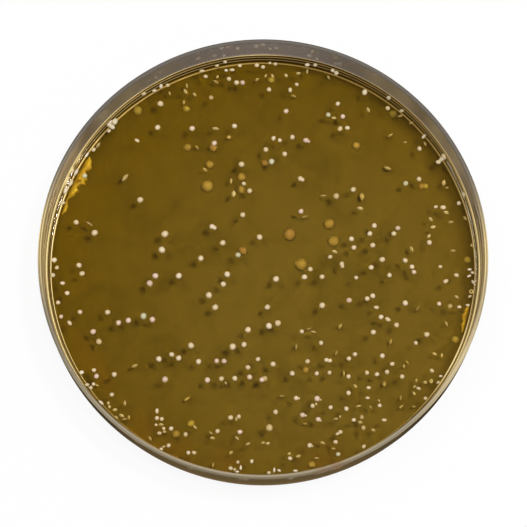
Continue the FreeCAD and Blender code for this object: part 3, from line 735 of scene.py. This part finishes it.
@dataclass
class AgarGel:
    """The poured gel: a clear skin on top, its coloured depth below, and painted glints and shade in that
    depth.
    """

    dish: PetriDish
    depth: float = 4.7
    climb: float = 0.6
    climb_width: float = 0.9
    seat: float = 0.01
    outer_ring: float = 1.0
    segments: int = 256
    # Where the painted glints lie: bands of height, bells of angle round the dish, bright specks, a
    # flare, the contact line and pooled light at the corner; below them the painted brownish shade near
    # the front edge, and the bubbles' painted highlight rings.
    side_from: float = 2.3
    lines: Bells = (Bell(6.8, 0.16), Bell(5.5, 0.2, 0.85), Bell(3.2, 0.3, 0.85))
    left: Bell = Bell(180, 40)
    right: Bell = Bell(-10, 38)
    back: Bell = Bell(90, 60, power=4)
    corner_line: Bell = Bell(42.38, 0.12)
    contact: Bell = Bell(6.45, 0.5)
    glint_flecks: Bells = (Bell(154, 5, power=4), Bell(5.2, 1.1, power=4))
    flare: Bells = (Bell(92, 6, 0.6), Bell(6.7, 0.3))
    glint_pool: Bells = (Bell(-26, 11, 0.9), Bell(42.6, 0.28))
    pool_below: float = 3.2
    edge_shades: tuple[Triple, ...] = (
        (-23.6, -32.6, 3.5), (-16.8, -37.0, 3.0), (-7.3, -39.5, 3.0), (12.0, -39.1, 3.5),
        (-36.0, -15.8, 1.5), (-34.4, -18.2, 1.5), (-32.8, -20.6, 1.5), (-31.2, -23.0, 1.5))
    edge_shade_share: float = 0.12
    bubbles: tuple[Pair, ...] = ((-7.8, 0.45), (5.2, 0.34))
    bubble_cover: float = 0.15
    bubble_glint: Bell = Bell(0.62, 0.16)

    @property
    def top(self) -> float:
        """Height of the level surface."""
        return self.dish.floor + self.depth

    @property
    def reach(self) -> float:
        """Radius of the gel where it ends on the wall."""
        return self.dish.inner(self.top + self.climb)

    def top_at(self, distance: Array) -> Array:
        """Height of the gel's top: level, then the lower part of a circle that meets the wall.

        Args:
            distance: distances from the dish's axis.

        Returns:
            Heights.
        """
        bend = (self.climb_width ** 2 + self.climb ** 2) / (2 * self.climb)
        run_up = np.maximum(0.0, distance - (self.reach - self.climb_width))
        return self.top + bend - np.sqrt(bend ** 2 - run_up ** 2)

    def surface(self) -> Surface:
        """The turned gel: level top and meniscus in the skin's slot 0, side, corner and bottom in slot 1.

        Returns:
            The closed gel with its marks and its bubbles.
        """
        corner, low = self.dish.corner, self.dish.floor + self.seat
        rise = np.linspace(self.reach - self.climb_width, self.reach - self.seat, 13)
        slope = np.stack([rise, self.top_at(rise)], -1)
        side = self.dish.inner(corner[1]) - self.seat
        ring = corner[0] - self.outer_ring
        profile, slots = section(
            (run((0, self.top), (self.reach - self.climb_width, self.top), 24), 0),
            (slope, 0),
            (run((self.reach - self.seat, slope[-1, 1]), (side, corner[1]), 60), 1),
            (arc(corner, self.dish.corner_radius - self.seat, 0, -90, 28), 1),
            (runs([(corner[0], low), (ring, low), (0, low)], [10, 60]), 1),
        )
        gel = lathe(profile, slots, self.segments)
        gel.marks["glint"] = self.glint(gel.vertices)
        gel.marks["cast"] = self.cast(gel.vertices)
        for angle, radius in self.bubbles:
            gel = gel.joined(self.bubble(math.radians(angle), radius))
        return gel

    def glint(self, points: Array) -> Array:
        """Painted glints: golden lines of light on the side, for each a bell curve of height, strongest
        at the left and right.

        Args:
            points: the gel's corners.

        Returns:
            A mark for each corner.
        """
        x, y, z = points.T
        radius, angle = np.hypot(x, y), np.degrees(np.arctan2(y, x))
        side = (radius > self.dish.corner[0] + 0.05) & (z > self.side_from)
        low = (radius > self.dish.corner[0] - self.outer_ring) & (z <= self.side_from)
        left, right, back = (b.around(angle) for b in (self.left, self.right, self.back))
        sway = 0.85 + 0.15 * np.sin(np.radians(3 * angle) + 1.0)
        total = sum(line.at(z) for line in self.lines)
        glint_breakup = 0.5 + np.sin(np.radians(97 * angle)) + 0.6 * np.sin(np.radians(61 * angle) + z)
        glint_flecks = self.glint_flecks[0].around(angle) * self.glint_flecks[1].at(z) * np.clip(glint_breakup, 0, 1)
        corner = self.corner_line.at(radius) * np.clip(0.15 + left + 0.7 * right + 0.25 * back, 0, 1)
        around = sway * np.clip(0.4 + left + 0.8 * right + 0.55 * back, 0, 1)
        contact = np.clip(left + right, 0, 1) * self.contact.at(z)
        flare = self.flare[0].around(angle) * self.flare[1].at(z)
        glint_pool = self.glint_pool[0].around(angle) * self.glint_pool[1].at(radius) * (z < self.pool_below)
        marks = np.where(side, total * around + glint_flecks + flare + contact, np.where(low, corner, 0.0))
        return np.clip(marks + glint_pool, 0.0, 1.0)

    def cast(self, points: Array) -> Array:
        """Painted brownish shade near the front edge: a sum of round bell curves on the bottom.

        Args:
            points: the gel's corners.

        Returns:
            A mark for each corner.
        """
        x, y, _ = points.T
        total = sum(np.exp(-((x - u) ** 2 + (y - v) ** 2) / width ** 2) for u, v, width in self.edge_shades)
        return np.clip(self.edge_shade_share * total, 0.0, 1.0)

    def bubble(self, angle: float, radius: float) -> Surface:
        """An air bubble beside the wall, close under the surface: a sphere from its two angles, in the
        gel's opaque body finish with a painted highlight ring.

        Args:
            angle: where it is round the dish, in radians.
            radius: its radius.

        Returns:
            The sphere, facing inward, because it is a hollow in the gel.
        """
        rise = np.radians(np.linspace(90, -90, 13))
        profile = np.stack([radius * np.cos(rise), radius * np.sin(rise)], -1)
        ball = lathe(profile, np.ones(12, int), 20).facing(outward=False)
        # Painted highlight: a bright ring round the bubble.
        ball.marks["glint"] = self.bubble_glint.at(ball.vertices[:, 2] / radius)
        reach = self.reach - self.climb_width - radius
        height = self.top - self.bubble_cover - radius
        ball.vertices = ball.vertices + [reach * math.cos(angle), reach * math.sin(angle), height]
        return ball

    def build(self) -> Object:
        """Builds and dresses the gel."""
        gel = self.surface().piece("agar", [AgarSkin().make(), AgarBody().make()], 40.0)
        return declared(gel, "agar_gel")


# Colonies: one smooth shape for each solid of the CAD, and the two banks of golden growth.


class Form(Enum):
    """How a colony stands: a dome on a surface, or a lens on edge inside the gel.

    The numbers are the mean square of its CAD corners along its three directions, as shares of the half
    size squared.
    """

    DOME = (0.3712, 0.3712, 0.1225)
    LENS = (0.3571, 0.3571, 0.2857)


@dataclass
class ColonyGroup:
    """All colonies of one kind, one low smooth shape for each solid of its CAD node."""

    node: str
    finish: ColonyFinish
    form: Form = Form.DOME
    plump: float = 1.0
    wobble: float = 0.04
    fade: float = 5.0
    steps: int = 12
    seed: int = 11
    margin_share: float = 0.7
    mean_rise: float = 0.363

    def fit(self) -> tuple[Array, Array, Array]:
        """Reads each colony's place and size from the spread of its CAD corners.

        A dome's corners lie in two rings and a tip, and a lens's in one ring and two tips, so the spread
        along each of the three main directions is a fixed share of the half size squared.

        Returns:
            Centres, axes as rows long, short and up, and half sizes, in millimetres, sorted by place.
        """
        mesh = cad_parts[self.node].data
        flat = np.zeros(len(mesh.vertices) * 3)
        mesh.vertices.foreach_get("co", flat)
        mesh.calc_loop_triangles()
        corners = np.zeros(len(mesh.loop_triangles) * 3, np.int64)
        mesh.loop_triangles.foreach_get("vertices", corners)
        grid, same = np.unique(np.round(flat.reshape(-1, 3) / MM, 4), axis=0, return_inverse=True)
        triangles = same.reshape(-1)[corners].reshape(-1, 3)
        solid = self.solids(triangles)
        used = np.unique(np.stack([np.repeat(solid, 3), triangles.ravel()], -1), axis=0)
        _, island = np.unique(used[:, 0], return_inverse=True)
        island = island.reshape(-1)
        count = np.bincount(island)
        places = grid[used[:, 1]]
        centre = np.stack([np.bincount(island, places[:, k]) / count for k in range(3)], -1)
        arm = places - centre[island]
        spread = np.zeros((len(count), 3, 3))
        np.add.at(spread, island, arm[:, :, None] * arm[:, None, :])
        value, vector = np.linalg.eigh(spread / count[:, None, None])
        axes = np.swapaxes(vector, 1, 2)[:, ::-1]
        value = np.maximum(value[:, ::-1], 1e-9)
        halves = np.sqrt(value / self.form.value)
        if self.form is Form.DOME:
            axes[axes[:, 2, 2] < 0] *= -1.0
            centre = centre - self.mean_rise * halves[:, 2:] * axes[:, 2]
        order = np.lexsort((centre[:, 1].round(2), centre[:, 0].round(2)))
        return centre[order], axes[order], halves[order]

    @staticmethod
    def solids(triangles: Array) -> Array:
        """Tells the closed solids of a mesh apart, also where two of them touch along a shared edge.

        Each solid's triangles follow each other and use each of its edges twice. So the uses of an edge,
        sorted by triangle, belong together two by two, and triangles that share such a pair are one
        solid.

        Args:
            triangles: corner numbers, one row for each triangle.

        Returns:
            A number for each triangle, equal for the triangles of one solid.
        """
        pairs = [triangles[:, [0, 1]], triangles[:, [1, 2]], triangles[:, [2, 0]]]
        sides = np.sort(np.concatenate(pairs), axis=1)
        owner = np.tile(np.arange(len(triangles)), 3)
        order = np.lexsort((owner, sides[:, 1], sides[:, 0]))
        sides, owner = sides[order], owner[order]
        same = (sides[1:] == sides[:-1]).all(axis=1)
        place = np.arange(len(owner))
        first = np.maximum.accumulate(np.where(np.append(True, ~same), place, 0))
        paired = same & ((place - first)[:-1] % 2 == 0)
        one, two = owner[:-1][paired], owner[1:][paired]
        label = np.arange(len(triangles))
        before = None
        while before is None or (before != label).any():
            before = label.copy()
            low = np.minimum(label[one], label[two])
            np.minimum.at(label, one, low)
            np.minimum.at(label, two, low)
        return label

    def rows(self) -> Array:
        """Outline of the shape, from its widest row to its top or from its upper to its lower edge.

        Returns:
            Rows of share of the half width, share of the height and how thin the margin is.
        """
        if self.form is Form.DOME:
            turn = np.radians([0, 22, 45, 68])
            return np.stack([np.cos(turn) ** 0.9, np.sin(turn), np.cos(turn) ** self.fade], -1)
        reach = np.array([0.5, 0.85, 1.0, 0.85, 0.5])
        level = np.array([0.74, 0.3, 0.0, -0.3, -0.74])
        return np.stack([reach, level, reach ** 6], -1)

    def surface(self) -> Surface:
        """All colonies as arrays.

        A corner is the centre, plus its row's share of the two half widths along the two wide axes, times
        the cosine and sine of its angle, plus its row's share of the height along the third axis. A slow
        wave of two and three lobes makes each outline a little uneven.

        Returns:
            The closed surface, facing outward.
        """
        centres, axes, halves = self.fit()
        halves = halves * [self.plump, self.plump, 1.0]
        rows = self.rows()
        number, height, around = len(centres), len(rows), self.steps
        chance = np.random.default_rng(self.seed)
        phase = chance.uniform(0, ALL_ROUND, (number, 2))
        tone = chance.uniform(0, 1, number)
        angle = ALL_ROUND * np.arange(around) / around
        lobes = np.cos(2 * angle + phase[:, :1]) + 0.6 * np.cos(3 * angle + phase[:, 1:])
        wave = 1 + self.wobble * lobes
        share = rows[None, :, 0, None] * wave[:, None, :]
        wide = axes[:, None, None, 0] * (halves[:, 0, None, None] * share * np.cos(angle))[..., None]
        long = axes[:, None, None, 1] * (halves[:, 1, None, None] * share * np.sin(angle))[..., None]
        up = axes[:, 2] * halves[:, 2:]
        lift = up[:, None, None] * rows[None, :, None, 1:2]
        rings = centres[:, None, None] + wide + long + lift
        tips = [1.0] if self.form is Form.DOME else [1.0, -1.0]
        ends = np.stack([centres + t * up for t in tips], 1)
        each = height * around + len(tips)
        vertices = np.concatenate([rings.reshape(number, -1, 3), ends], 1).reshape(-1, 3)
        quads = strips(height, around)
        row = np.arange(around)
        top = row + (height - 1) * around
        first, last = (top, row) if self.form is Form.DOME else (row, top)
        start = height * around
        fan = np.stack([first, np.roll(first, -1), np.full(around, start)], -1)
        if self.form is Form.LENS:
            quads = quads[:, ::-1]
            fan = np.vstack([fan, np.stack([np.roll(last, -1), last, np.full(around, start + 1)], -1)])
        shift = each * np.arange(number)[:, None, None]
        faces = (quads[None] + shift).reshape(-1, 4).tolist()
        faces += (fan[None] + shift).reshape(-1, 3).tolist()
        if self.form is Form.DOME:
            faces += (last[::-1][None] + shift[:, :, 0]).tolist()
        margin = np.concatenate([np.repeat(rows[:, 2], around), np.zeros(len(tips))])
        marks = {"tone": np.repeat(tone, each), "edge": np.tile(self.margin_share * margin, number)}
        turned = np.linalg.det(axes) < 0
        flips = np.repeat(turned, len(quads)).tolist() + np.repeat(turned, len(fan)).tolist()
        flips += turned.tolist() if self.form is Form.DOME else []
        faces = [f[::-1] if flip else f for f, flip in zip(faces, flips)]
        return Surface(vertices, faces, np.zeros(len(faces), int), marks)

    def build(self) -> Object:
        """Builds and dresses the group."""
        piece = self.surface().piece(self.node.replace("colonies", "growth").replace("colony", "growth"),
                                     [self.finish.make()])
        return declared(piece, self.node)


@dataclass
class SpreadingGrowth:
    """Golden growth that has crept along the corner of floor and wall, with a lacy inner edge."""

    node: str
    dish: PetriDish
    angles: tuple[float, ...]
    widths: tuple[float, ...]
    lobes: tuple[Triple, ...] = ((0.14, 71, 0), (0.10, 149, 1), (0.05, 263, 2))
    height: float = 1.2
    full_width: float = 1.2
    least_width: float = 0.12
    clear: float = 0.17
    lift: float = 0.02
    margin_share: float = 0.5
    steps: int = 150
    across: int = 10

    def surface(self) -> Surface:
        """A low bank: section carried round the corner between two angles.

        Across the bank the section runs from the inner toe over a rounded back to the outer foot, and its
        width follows the listed reach, half of it, with small lobes, so that the edge looks grown. A lobe
        is listed as its size, its number round the dish and where it starts.

        Returns:
            The closed surface, facing outward.
        """
        turn = np.radians(np.linspace(self.angles[0], self.angles[-1], self.steps))
        step = 1 if self.angles[0] < self.angles[-1] else -1
        listed = np.interp(turn, np.radians(self.angles)[::step], np.array(self.widths)[::step])
        lobes = sum((size * np.sin(count * turn + start) for size, count, start in self.lobes), 0.88)
        width = np.maximum(self.least_width, 0.5 * listed * lobes)
        outer = self.dish.corner[0] - self.clear
        share = np.linspace(0, 1, self.across)
        back = np.sin(np.pi * share ** 0.7) ** 0.6 * 0.9
        bumps = 0.85 + 0.15 * np.sin(60 * turn)
        tall = self.height * np.clip(width / self.full_width, 0.25, 1.0) * bumps
        base = self.dish.floor + self.lift
        radius = outer - width[:, None] * (1 - share[None])
        level = base + tall[:, None] * back[None]
        ring = np.stack([radius * np.cos(turn)[:, None], radius * np.sin(turn)[:, None], level], -1)
        foot = ring[:, ::-1][:, 1:-1].copy()
        foot[..., 2] = base
        loop = np.concatenate([ring, foot], 1)
        rows, columns = loop.shape[:2]
        end = np.arange(columns)
        last = end[::-1] + (rows - 1) * columns
        faces = strips(rows, columns).tolist() + [end.tolist(), last.tolist()]
        thin = 1 - np.clip(np.concatenate([back, np.zeros(columns - self.across)]), 0, 1)
        marks = {
            "tone": 0.5 + 0.5 * np.sin(np.repeat(70 * turn, columns)),
            "edge": np.tile(self.margin_share * thin, rows),
        }
        return Surface(loop.reshape(-1, 3), faces, np.zeros(len(faces), int), marks).facing()

    def build(self) -> Object:
        """Builds and dresses the growth."""
        piece = self.surface().piece(self.node.replace("growth", "bank"), [GOLDEN.make()], 60.0)
        return declared(piece, self.node)


def declared(piece: Object, node: str) -> Object:
    """Makes the piece ride on the object's one body and stand for its CAD node.

    Args:
        piece: the piece.
        node: name of the CAD node that it stands for.

    Returns:
        The piece.
    """
    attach(piece, "root")
    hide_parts(node)
    return piece


# Studio: paper, lamps, room and camera.


class Lamp(Enum):
    """The studio's two soft lamps: direction from the dish (x, y, z), side and power in watts."""

    KEY = ((0.29, 0.10, 0.952), 0.17, 6.2)
    FILL = ((-0.25, 0.15, 0.957), 0.20, 2.2)


@dataclass
class Studio:
    """White paper, soft lamps and the camera."""

    paper_reach: float = 1500.0
    paper_drop: float = 0.02
    lamp_distance: float = 1.0
    aim: Triple = (0.1, -1.3, 12.0)
    tilt: float = 12.45
    distance: float = 500.0
    lens: float = 174.33
    dim: float = 0.16
    horizon: Pair = (0.2, 0.45)
    sensor: float = 36.0
    clip: Pair = (0.01, 20.0)

    def build(self) -> None:
        """Builds floor, lamps, world and camera."""
        self.floor()
        for lamp in Lamp:
            self.hang(lamp)
        self.world()
        self.camera()

    def floor(self) -> None:
        """A square of paper three metres wide, just under the foot."""
        side, drop = self.paper_reach, -self.paper_drop
        corners = [[-side, -side, drop], [side, -side, drop], [side, side, drop], [-side, side, drop]]
        square = Surface(np.array(corners), [[0, 1, 2, 3]], np.zeros(1, int))
        paper = square.piece("paper", [StudioPaper().make()])

    def hang(self, lamp: Lamp) -> None:
        """Hangs one lamp, facing the dish.

        Args:
            lamp: which lamp.
        """
        direction, side, power = lamp.value
        data = bpy.data.lights.new(lamp.name.lower(), "AREA")
        data.shape, data.size, data.energy = "DISK", side, power
        obj = bpy.data.objects.new(lamp.name.lower(), data)
        obj.location = Vector(direction).normalized() * self.lamp_distance
        obj.rotation_euler = Vector(direction).to_track_quat("Z", "Y").to_euler()
        obj.visible_transmission = False
        bpy.context.scene.collection.objects.link(obj)

    def world(self) -> None:
        """A room that the camera finds white straight or through the dish, if it looks down; else dim."""
        world = bpy.data.worlds.new("studio")
        bpy.context.scene.world = world
        add = emptied(world)
        way = add("SeparateXYZ", {0: add("TexCoord", out="Generated")}, out=2)
        near, far = self.horizon
        low = add("MapRange", {
            "Value": way, "From Min": near, "From Max": far, "To Min": 1.0, "To Max": 0.0})
        white = add("Math", {0: seen_by_camera(add), 1: low}, operation="MULTIPLY")
        level = add("MapRange", {"Value": white, "To Min": self.dim, "To Max": 1.0})
        room = add("Background", {"Strength": level, "Color": WHITE})
        add("OutputWorld", {"Surface": room})

    def camera(self) -> None:
        """The photograph's camera: near straight down, a little to the front."""
        turn = math.radians(self.tilt)
        away = Vector((0.0, -math.sin(turn), math.cos(turn)))
        data = bpy.data.cameras.new("camera")
        data.lens, data.sensor_width = self.lens, self.sensor
        data.clip_start, data.clip_end = self.clip
        camera = bpy.data.objects.new("camera", data)
        camera.location = (Vector(self.aim) + away * self.distance) * MM
        camera.rotation_euler = away.to_track_quat("Z", "Y").to_euler()
        bpy.context.scene.collection.objects.link(camera)
        bpy.context.scene.camera = camera


def main() -> None:
    """Builds the dish, the gel, all growth and the studio, and reports each piece."""
    bpy.context.scene.view_settings.view_transform = "Standard"
    dish = PetriDish()
    west = SpreadingGrowth(
        "west_spreading_growth", dish,
        (147.0, 149.5, 152.0, 154.5, 157.0, 159.0, 160.5, 162.0, 163.5, 165.0),
        (0.9, 4.2, 3.9, 4.6, 3.4, 2.6, 1.0, 1.5, 1.9, 0.5))
    east = SpreadingGrowth(
        "east_spreading_growth", dish, (-10.3, -12.0, -14.0, -16.5, -18.5), (0.6, 1.9, 2.2, 2.0, 0.6))
    on_gel = {"cream": CREAM, "rose": ROSE, "pale_green": PALE_GREEN, "tan": TAN}
    in_gel = {"cream": CREAM_SUNK, "tan": TAN_SUNK, "amber": AMBER_SUNK}
    on_floor = {"ochre": (OCHRE_SUNK, 1.15), "orange": (ORANGE_SUNK, 1.15), "olive": (OLIVE_SUNK, 1.2)}
    builders: list[PetriDish | AgarGel | ColonyGroup | SpreadingGrowth] = [
        dish,
        AgarGel(dish),
        *(ColonyGroup(f"{hue}_surface_colonies", finish) for hue, finish in on_gel.items()),
        ColonyGroup("large_tan_colony", TAN),
        ColonyGroup("meniscus_colonies", MENISCUS, plump=1.2),
        *(ColonyGroup(f"{hue}_lens_colonies", finish, Form.LENS, plump=1.1)
          for hue, finish in in_gel.items()),
        *(ColonyGroup(f"{hue}_floor_colonies", finish, plump=plump, wobble=0.02, fade=1.6)
          for hue, (finish, plump) in on_floor.items()),
        west,
        east,
    ]
    for builder in builders:
        piece = builder.build()
        LOG.info("%s: %d faces", piece.name, len(piece.data.polygons))
    Studio().build()


if __name__ == "__main__":
    logging.basicConfig(level=logging.INFO)
    main()
